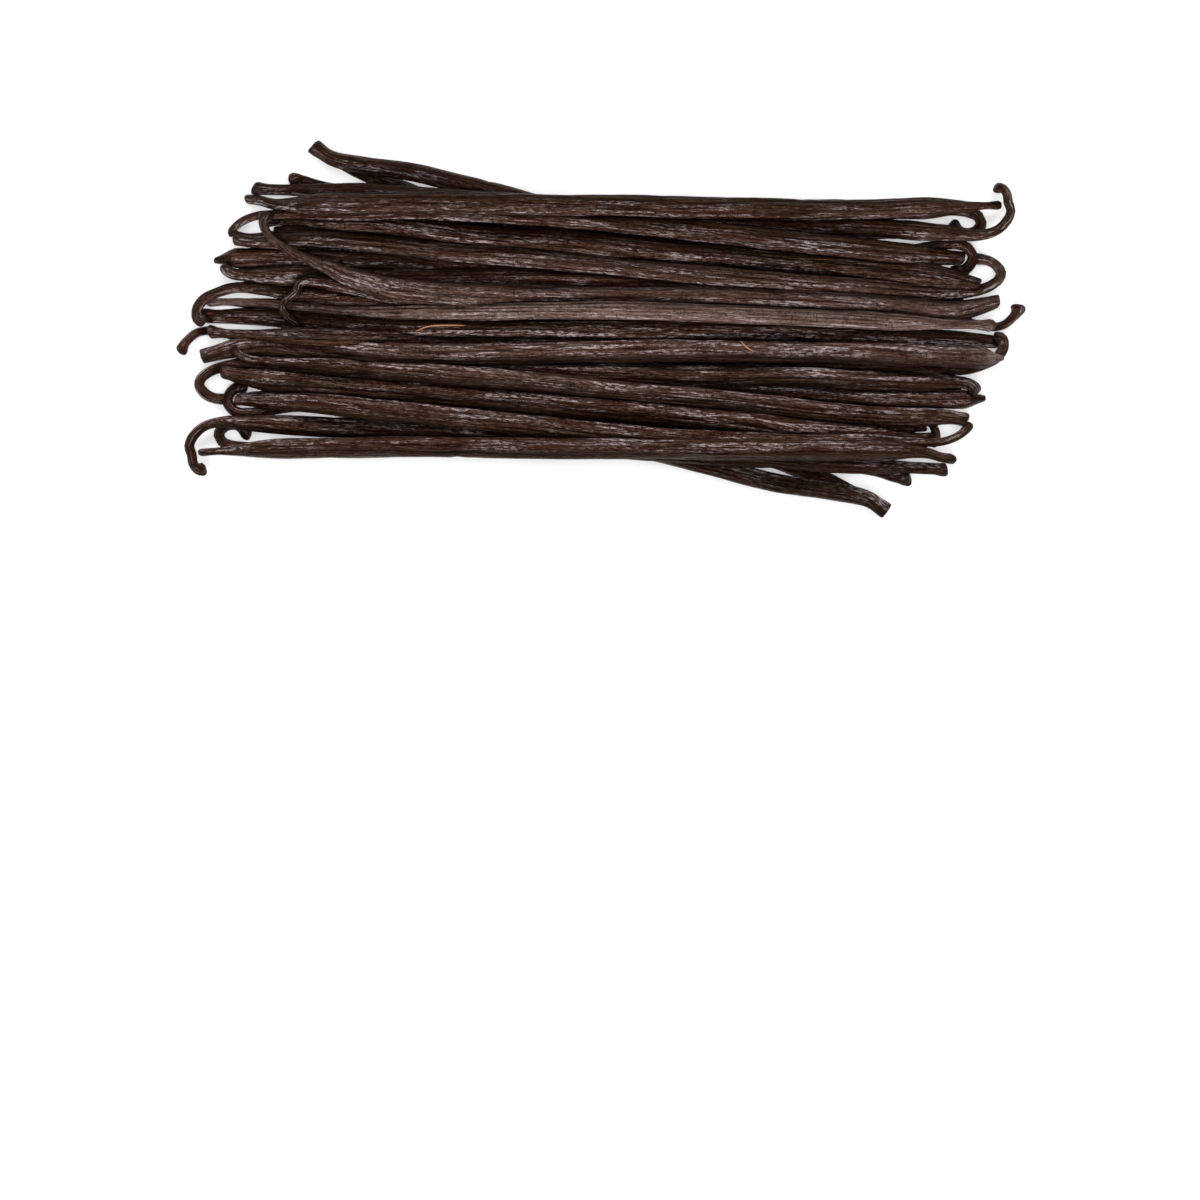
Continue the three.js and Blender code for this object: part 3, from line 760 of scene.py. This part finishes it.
def fibre_mesh(strands):
    """The fibres as thin flat bands that lie along the pile's top with their middle raised."""
    turns = np.linspace(0, 2 * math.pi, FIBRE_SIDES + 1)[:-1]
    bm = bmesh.new()
    for path, arch in FIBRES:
        line = through(path, 24)
        bow = np.sin(np.linspace(0, math.pi, len(line)))
        tops = np.array([pile_top(strands, place) for place in line])
        high = (tops.max() + tops) / 2 + FIBRE_LIFT + arch * bow
        forward = unit(np.gradient(line, axis=0))
        across = np.stack([-forward[:, 1], forward[:, 0]], 1)
        half = FIBRE_WIDTH / 2 * (0.25 + 0.75 * bow**0.5)
        rings = []
        for i in range(len(line)):
            xy = line[i] + across[i] * (np.cos(turns) * half[i])[:, None]
            z = high[i] + np.sin(turns) * half[i] * 0.5
            rings.append([bm.verts.new((x * MM, y * MM, h * MM)) for (x, y), h in zip(xy, z)])
        for one, other in zip(rings, rings[1:], strict=False):
            for k in range(FIBRE_SIDES):
                after = k + 1 - FIBRE_SIDES
                bm.faces.new((one[k], one[after], other[after], other[k]))
        bm.faces.new(rings[0][::-1])
        bm.faces.new(rings[-1])
    bmesh.ops.recalc_face_normals(bm, faces=bm.faces)
    return mesh_of(bm, "fibres")


class Nodes:
    """Short ways to add and join shader nodes in a tree."""

    def __init__(self, tree):
        self.tree = tree

    def add(self, kind, **values):
        """Adds a node and sets the fields that are named."""
        node = self.tree.nodes.new(kind)
        for key, value in values.items():
            setattr(node, key, value)
        return node

    def put(self, socket, value):
        """Sets an input to a number or joins it to an output."""
        if isinstance(value, bpy.types.NodeSocket):
            self.tree.links.new(value, socket)
        else:
            socket.default_value = value

    def feed(self, node, *values):
        """Sets or joins a node's first inputs in their order, and gives its output."""
        for socket, value in zip(node.inputs, values, strict=False):
            self.put(socket, value)
        return node.outputs[0]

    def math(self, operation, a, b, clamp=False):
        """A Math node's output."""
        return self.feed(self.add("ShaderNodeMath", operation=operation, use_clamp=clamp), a, b)

    def scaled(self, value, low, high):
        """low where value is 0, high where it is 1."""
        return self.math("ADD", low, self.math("MULTIPLY", value, high - low))

    def product(self, *factors, clamp=False):
        """All the factors multiplied; clamp keeps the whole between 0 and 1."""
        total = factors[0]
        for factor in factors[1:-1]:
            total = self.math("MULTIPLY", total, factor)
        return self.math("MULTIPLY", total, factors[-1], clamp)

    def weighted(self, *pairs, base=0.0):
        """base plus each value times its weight."""
        total = base
        for value, weight in pairs:
            total = self.math("ADD", total, self.math("MULTIPLY", value, weight))
        return total

    def ramp(self, value, low, high):
        """value from low to high, brought to 0 to 1 with soft ends."""
        node = self.add("ShaderNodeMapRange", interpolation_type="SMOOTHSTEP")
        return self.feed(node, value, low, high)

    def mix(self, share, a, b):
        """The colour between a and b."""
        node = self.add("ShaderNodeMix", data_type="RGBA")
        self.put(node.inputs[0], share)
        self.put(node.inputs[6], a)
        self.put(node.inputs[7], b)
        return node.outputs[2]


def new_material(name):
    """A material, the means to add nodes to it, and its shader."""
    material = bpy.data.materials.new(name)
    material.use_nodes = True
    return material, Nodes(material.node_tree), material.node_tree.nodes["Principled BSDF"]


def add_bump(n, shader, height, distance):
    """Gives a shader the relief of height, 0 to 1, over distance in metres."""
    bump = n.add("ShaderNodeBump")
    n.put(bump.inputs["Height"], height)
    bump.inputs["Distance"].default_value = distance
    bump.inputs["Strength"].default_value = 1.0
    n.put(shader.inputs["Normal"], bump.outputs["Normal"])


def rgba(colour):
    """A colour with its alpha."""
    return (*colour, 1.0)


def long_grain_group():
    """A node group: noise drawn out along a pod, from the skin's own place in millimetres."""
    group = bpy.data.node_groups.new("Long Grain", "ShaderNodeTree")
    face = group.interface
    face.new_socket("Place", in_out="INPUT", socket_type="NodeSocketVector")
    for name in ("Across", "Along", "Detail", "Offset"):
        face.new_socket(name, in_out="INPUT", socket_type="NodeSocketFloat")
    face.new_socket("Grain", in_out="OUTPUT", socket_type="NodeSocketFloat")
    n = Nodes(group)
    given = n.add("NodeGroupInput").outputs
    result = n.add("NodeGroupOutput").inputs["Grain"]
    across = n.math("DIVIDE", 1.0, given["Across"])
    along = n.math("DIVIDE", 1.0, given["Along"])
    scale = n.feed(n.add("ShaderNodeCombineXYZ"), across, across, along)
    scaling = n.add("ShaderNodeVectorMath", operation="MULTIPLY_ADD")
    drawn = n.feed(scaling, given["Place"], scale, given["Offset"])
    noise = n.add("ShaderNodeTexNoise", noise_dimensions="3D")
    n.put(noise.inputs["Vector"], drawn)
    n.put(noise.inputs["Scale"], 1.0)
    n.put(noise.inputs["Detail"], given["Detail"])
    n.put(result, noise.outputs["Fac"])
    return group


def grain(n, group, place, kind):
    """The output of a Long Grain group that is set to one row of GRAINS."""
    return n.feed(n.add("ShaderNodeGroup", node_tree=group), place, *kind)


def skin_readings(n):
    """What the skin reads from the mesh and from its grains, as outputs of nodes."""

    def reads(name, output="Fac"):
        return n.add("ShaderNodeAttribute", attribute_name=name).outputs[output]

    group = long_grain_group()
    place = reads("skin_place", "Vector")
    skin = SimpleNamespace()
    for name, kind in GRAINS.items():
        setattr(skin, name, grain(n, group, place, kind))
    skin.grit = n.ramp(skin.grit, 0.3, 0.6)
    parts = n.add("ShaderNodeSeparateXYZ")
    n.put(parts.inputs[0], reads("skin_look", "Vector"))
    skin.tone, skin.bloom, skin.olive = parts.outputs
    # The crest, furrows, gap to other pods and facing up steer the painted shade; the flank turned
    # to the bundle's middle steers the painted highlight and the outer flank's painted shade.
    skin.crest = n.ramp(reads("crest"), -0.7, 0.35)
    skin.furrow = reads("furrow")
    skin.clear = n.ramp(reads("gap"), 0.0, 1.2)
    skin.inner = n.ramp(reads("inner_side"), -0.8, 0.6)
    skin.top = n.ramp(reads("facing_up"), -0.1, 0.8)
    skin.crack = n.product(n.ramp(skin.crackle, 0.58, 0.68), n.ramp(skin.crackled, 0.54, 0.64))
    skin.tip = n.ramp(reads("from_end"), 2.4, 0.3)
    skin.scar = reads("scar")
    skin.worn = n.product(reads("pale_spot"), n.ramp(skin.crackle, 0.3, 0.5))
    return skin


def shaded_bare_skin(n, skin, settings):
    """The skin's colour without bloom or painted highlight, with painted shade between the pods, in
    the furrows, low in the wrinkles, on the sides and on the outer flank.
    """
    dark, red, brown, olive, pale = (
        rgba(getattr(settings, "skin_" + name))
        for name in ("dark", "red", "brown", "olive", "pale"))
    patches = n.product(n.ramp(skin.patch, 0.42, 0.62), n.math("ADD", skin.olive, 0.25), clamp=True)
    # Painted shade: the outer flank, turned away from the light, goes olive.
    shaded_flank = n.product(n.ramp(skin.inner, 0.5, 0.0), 0.6)
    ridge = n.mix(n.math("MAXIMUM", patches, shaded_flank), brown, olive)
    dried = n.product(n.ramp(skin.tone, 0.45, 1.1), n.ramp(skin.spread, 0.2, 0.5))
    ridge = n.mix(dried, ridge, pale)

    lines = n.weighted(
        (n.ramp(skin.streak, 0.42, 0.56), 0.45), (n.ramp(skin.thread, 0.42, 0.57), 0.38),
        (n.ramp(skin.dash, 0.4, 0.6), 0.4), base=0.03)
    # How light the skin is painted: real lines and tone, darkened by painted shade low in the
    # wrinkles, in the furrows, on sides that don't face up and close to other pods.
    light = n.product(n.scaled(skin.crest, 0.24, 1.0), lines)
    light = n.math("ADD", light, n.product(n.math("SUBTRACT", skin.tone, 0.45), 0.5), True)
    light = n.product(
        light, n.scaled(skin.top, 0.3, 1.0), n.scaled(skin.furrow, 1.0, 0.15),
        n.scaled(skin.grit, 0.75, 1.2), clamp=True)
    light = n.product(light, n.scaled(skin.clear, 0.06, 1.0))
    # The colour of the painted shade: dark and red-black in patches, darkest close to other pods.
    shade_colour = n.mix(n.ramp(skin.patch, 0.56, 0.44), dark, red)
    shade_colour = n.mix(n.ramp(skin.clear, 0.5, 0.1), shade_colour, dark)
    return n.mix(light, shade_colour, ridge)


def bloom_and_highlight_shares(n, skin):
    """How much bloom and painted highlight the skin has: dry bloom laid only where light falls, and
    the painted glints, its brightest dashes.
    """
    # Painted highlight: bloom and glints go only on the lit flank, the tops and the crests, away
    # from other pods and out of the furrows.
    where = n.product(
        n.scaled(skin.inner, 0.1, 1.0), n.scaled(n.ramp(skin.spread, 0.44, 0.62), 0.12, 1.0),
        n.scaled(skin.crest, 0.2, 1.0), n.math("ADD", skin.bloom, 0.25),
        n.ramp(skin.top, 0.0, 0.7), skin.clear, n.math("SUBTRACT", 1.0, skin.furrow))
    dry = n.product(
        n.ramp(skin.thread, 0.42, 0.6), n.ramp(skin.streak, 0.34, 0.56), where, 1.7, clamp=True)
    dry = n.product(dry, n.scaled(skin.grit, 0.55, 1.15), clamp=True)
    glint = n.product(
        n.ramp(skin.dash, 0.48, 0.6), n.ramp(skin.streak, 0.4, 0.56),
        n.scaled(skin.grit, 0.35, 1.25), where, 2.6, clamp=True)
    return dry, glint


def pod_material(settings):
    """The wrinkled, slightly oily skin of a cured pod."""
    material, n, shader = new_material("wrinkled_pod_skin")
    skin = skin_readings(n)
    dry, glint = bloom_and_highlight_shares(n, skin)
    colour = shaded_bare_skin(n, skin, settings)
    # Over the painted skin go the bloom with its painted highlight, the painted glints, the real
    # dark cracks and ends, the cut faces and the worn spots.
    for share, most, over in (
            (dry, 0.7, settings.skin_bloom_and_highlight), (glint, 0.7, settings.skin_painted_glint),
            (skin.crack, 0.6, settings.skin_dark), (skin.tip, 0.6, settings.skin_dark),
            (skin.scar, 0.85, settings.skin_scar), (skin.worn, 0.8, settings.skin_bloom_and_highlight)):
        colour = n.mix(n.product(share, most), colour, rgba(over))
    n.put(shader.inputs["Base Color"], colour)
    shader.inputs["Specular IOR Level"].default_value = 0.22
    shader.inputs["Specular Tint"].default_value = (1, 0.5, 0.34, 1)
    rough = n.weighted((skin.patch, 0.5), (dry, 0.15), (skin.tone, 0.08), base=0.04)
    n.put(shader.inputs["Roughness"], rough)
    height = n.weighted(
        (skin.streak, 0.8), (skin.thread, 0.4), (skin.dash, 0.25), (skin.grit, 0.06),
        (skin.crack, -0.2))
    add_bump(n, shader, height, 0.0005)
    return material


def plain_material(name, colour, roughness, scale, depth):
    """A matt material with a little uneven tone and a fine grain."""
    material, n, shader = new_material(name)
    place = n.add("ShaderNodeTexCoord").outputs["Object"]
    noise = n.add("ShaderNodeTexNoise")
    n.put(noise.inputs["Vector"], place)
    n.put(noise.inputs["Scale"], scale)
    dark = rgba([c * 0.8 for c in colour])
    n.put(shader.inputs["Base Color"], n.mix(noise.outputs["Fac"], dark, rgba(colour)))
    shader.inputs["Roughness"].default_value = roughness
    add_bump(n, shader, noise.outputs["Fac"], depth)
    return material


def laid_strands(settings):
    """All pods, settled on each other: those that show from above, then the bed."""
    shown = [p for pod in TWINS for p in (pod, turned(pod))] + list(SINGLE)
    strands = [Strand(pod, settings.flatness) for pod in [*shown, *bed_pods()]]
    settle(strands)
    return strands[:len(shown)], strands[len(shown):]


def skin_of(settings):
    """The pods' one material, made when it is first asked for."""
    return bpy.data.materials.get("wrinkled_pod_skin") or pod_material(settings)


class VANILLA_OT_shown_pods(bpy.types.Operator):
    """Lay the pods that show from above, in four pieces from the far side to the near one"""

    bl_idname = "vanilla.shown_pods"
    bl_label = "Shown pods"

    def execute(self, context):
        settings = context.scene.vanilla_pods
        shown, bed = laid_strands(settings)
        shown.sort(key=lambda strand: -strand.xy[:, 1].mean())
        names = ("pods_far", "pods_far_middle", "pods_near_middle", "pods_near")
        groups = np.array_split(np.arange(len(shown)), len(names))
        skin = skin_of(settings)
        for name, members in zip(names, groups, strict=True):
            strands = [shown[i] for i in members]
            make_pods(name, strands, shown + bed, SHOWN_MESH, skin, settings)
        return {"FINISHED"}


class VANILLA_OT_bed_pods(bpy.types.Operator):
    """Lay the straight pods under the others"""

    bl_idname = "vanilla.bed_pods"
    bl_label = "Bed pods"

    def execute(self, context):
        settings = context.scene.vanilla_pods
        shown, bed = laid_strands(settings)
        make_pods("pods_bed", bed, shown + bed, BED_MESH, skin_of(settings), settings)
        return {"FINISHED"}


class VANILLA_OT_fibres(bpy.types.Operator):
    """Drop the two stray fibres on the pile"""

    bl_idname = "vanilla.fibres"
    bl_label = "Fibres"

    def execute(self, context):
        shown, _ = laid_strands(context.scene.vanilla_pods)
        material = plain_material("dry_fibre", (0.42, 0.17, 0.08), 0.6, 2500, 0.0001)
        finish_piece(fibre_mesh(shown), "fibres", material)
        return {"FINISHED"}


class VANILLA_OT_core(bpy.types.Operator):
    """Fill the middle of the pile with a low dark core that no view shows"""

    bl_idname = "vanilla.core"
    bl_label = "Core"

    def execute(self, context):
        length, width, height = (side * MM for side in CORE_SIZE)
        bm = bmesh.new()
        bmesh.ops.create_cube(bm, size=1)
        bmesh.ops.scale(bm, verts=bm.verts, vec=(length, width, height))
        bmesh.ops.translate(bm, verts=bm.verts, vec=(0, 0, height / 2 + CORE_CLEAR * MM))
        bmesh.ops.bevel(
            bm, geom=bm.edges, offset=CORE_BEVEL * MM, offset_type="OFFSET", segments=3,
            profile=0.5, affect="EDGES", material=-1)
        material = plain_material("packed_pods", (0.02, 0.01, 0.007), 0.7, 900, 0.0002)
        finish_piece(mesh_of(bm, "pod_core"), "pod_core", material)
        return {"FINISHED"}


def gathered(name, members):
    """A collection of the objects named in members, which a lamp lights or is shaded by."""
    group = bpy.data.collections.new(name)
    for member in members:
        group.objects.link(bpy.data.objects[member])
    return group


def area_light(name, place, size, power, colour, lit=None, shadows=None):
    """A soft rectangular lamp over the bundle; lit and shadows name the only objects it meets."""
    lamp = bpy.data.lights.new(name, "AREA")
    lamp.shape = "RECTANGLE"
    lamp.size, lamp.size_y = size
    lamp.energy = power
    lamp.color = colour
    holder = placed(name, lamp)
    holder.location = place
    holder.rotation_euler = (-Vector(place)).to_track_quat("-Z", "Y").to_euler()
    if lit:
        holder.light_linking.receiver_collection = gathered(name + "_lights", lit)
    if shadows:
        holder.light_linking.blocker_collection = gathered(name + "_shadows", shadows)


def set_table(colour):
    """The table top, at height 0."""
    bm = bmesh.new()
    bmesh.ops.create_grid(bm, x_segments=1, y_segments=1, size=TABLE_HALF_SIDE)
    mesh = mesh_of(bm, "table_top")
    mesh.materials.append(plain_material("pale_table", colour, 0.75, 60, 0.00005))
    placed("table_top", mesh)


def set_room(scene):
    """A room that looks as pale as the table, but lights the pods only a little."""
    scene.world = scene.world or bpy.data.worlds.new("soft_room")
    scene.world.use_nodes = True
    sky = scene.world.node_tree.nodes["Background"]
    sky.inputs["Color"].default_value = (1, 1, 1, 1)
    n = Nodes(scene.world.node_tree)
    seen = n.add("ShaderNodeLightPath").outputs["Is Camera Ray"]
    n.put(sky.inputs["Strength"], n.scaled(seen, ROOM_LIGHT, 1.0))


def set_lamps():
    """The lamps: the photograph's lower half is its upper half turned round, with its light."""
    far = ("pods_far", "pods_far_middle", "pods_bed", "fibres")
    near = ("pods_near", "pods_near_middle", "pods_bed", "fibres")
    pods = far + near[:2]
    table = ("table_top",)
    cool, warm = (0.99, 0.99, 1), (1, 0.99, 0.97)
    area_light("lamp_near", (0, -0.95, 0.75), (1.0, 0.4), 14, cool, far)
    area_light("lamp_far", (0, 0.95, 0.75), (1.0, 0.4), 14, cool, near)
    for side in (-1, 1):
        area_light(f"lamp_side{side}", (0.95 * side, 0, 1.05), (0.5, 0.5), 5, warm)
        area_light(f"lamp_low{side}", (0, 1.3 * side, 0.22), (1.2, 0.25), 3, cool, pods)
        area_light(f"lamp_table{side}", (0, 0.75 * side, 1.0), (0.9, 0.3), 5, cool, table)
    area_light("lamp_table", (0, 0, 1.7), (0.9, 0.9), 22, cool, table, table)


def set_camera(scene, settings):
    """The camera, straight over the place that is the photograph's middle."""
    lower = (PHOTO_SIDE / 2 - BUNDLE_ROW) / PHOTO_SIDE * settings.field
    camera = placed("camera", bpy.data.cameras.new("camera"))
    camera.location = (0, -lower, settings.camera_height + PODS_HEIGHT * MM)
    camera.data.sensor_width = 36
    camera.data.lens = camera.data.sensor_width * settings.camera_height / settings.field
    scene.camera = camera


class VANILLA_OT_stage(bpy.types.Operator):
    """Set the table, the soft lights and the camera over the finished bundle"""

    bl_idname = "vanilla.stage"
    bl_label = "Stage"

    def execute(self, context):
        scene = context.scene
        set_table(scene.vanilla_stage.table_colour)
        set_room(scene)
        set_lamps()
        scene.view_settings.view_transform = "Standard"
        set_camera(scene, scene.vanilla_stage)
        return {"FINISHED"}


class VANILLA_PT_panel(bpy.types.Panel):
    """The bundle's buttons, in the order in which they are used"""

    bl_label = "Vanilla pods"
    bl_idname = "VANILLA_PT_panel"
    bl_space_type = "VIEW_3D"
    bl_region_type = "UI"
    bl_category = "Vanilla"

    def draw(self, context):
        for operator in (
                VANILLA_OT_core, VANILLA_OT_bed_pods, VANILLA_OT_shown_pods,
                VANILLA_OT_fibres, VANILLA_OT_stage):
            self.layout.operator(operator.bl_idname)
        for key in ("flatness", "wrinkle", "skin_dark", "skin_brown", "skin_olive", "skin_bloom_and_highlight"):
            self.layout.prop(context.scene.vanilla_pods, key)


CLASSES = (
    PodSettings, StageSettings, VANILLA_OT_stage, VANILLA_OT_core, VANILLA_OT_bed_pods,
    VANILLA_OT_shown_pods, VANILLA_OT_fibres, VANILLA_PT_panel)


def register():
    """Makes the classes and the scene's settings known to Blender."""
    for one in CLASSES:
        bpy.utils.register_class(one)
    bpy.types.Scene.vanilla_pods = PointerProperty(type=PodSettings)
    bpy.types.Scene.vanilla_stage = PointerProperty(type=StageSettings)


def unregister():
    """Takes back what register did."""
    del bpy.types.Scene.vanilla_stage
    del bpy.types.Scene.vanilla_pods
    for one in reversed(CLASSES):
        bpy.utils.unregister_class(one)


def main():
    register()
    bpy.ops.vanilla.core()
    bpy.ops.vanilla.bed_pods()
    bpy.ops.vanilla.shown_pods()
    bpy.ops.vanilla.fibres()
    bpy.ops.vanilla.stage()


if __name__ == "__main__":
    main()
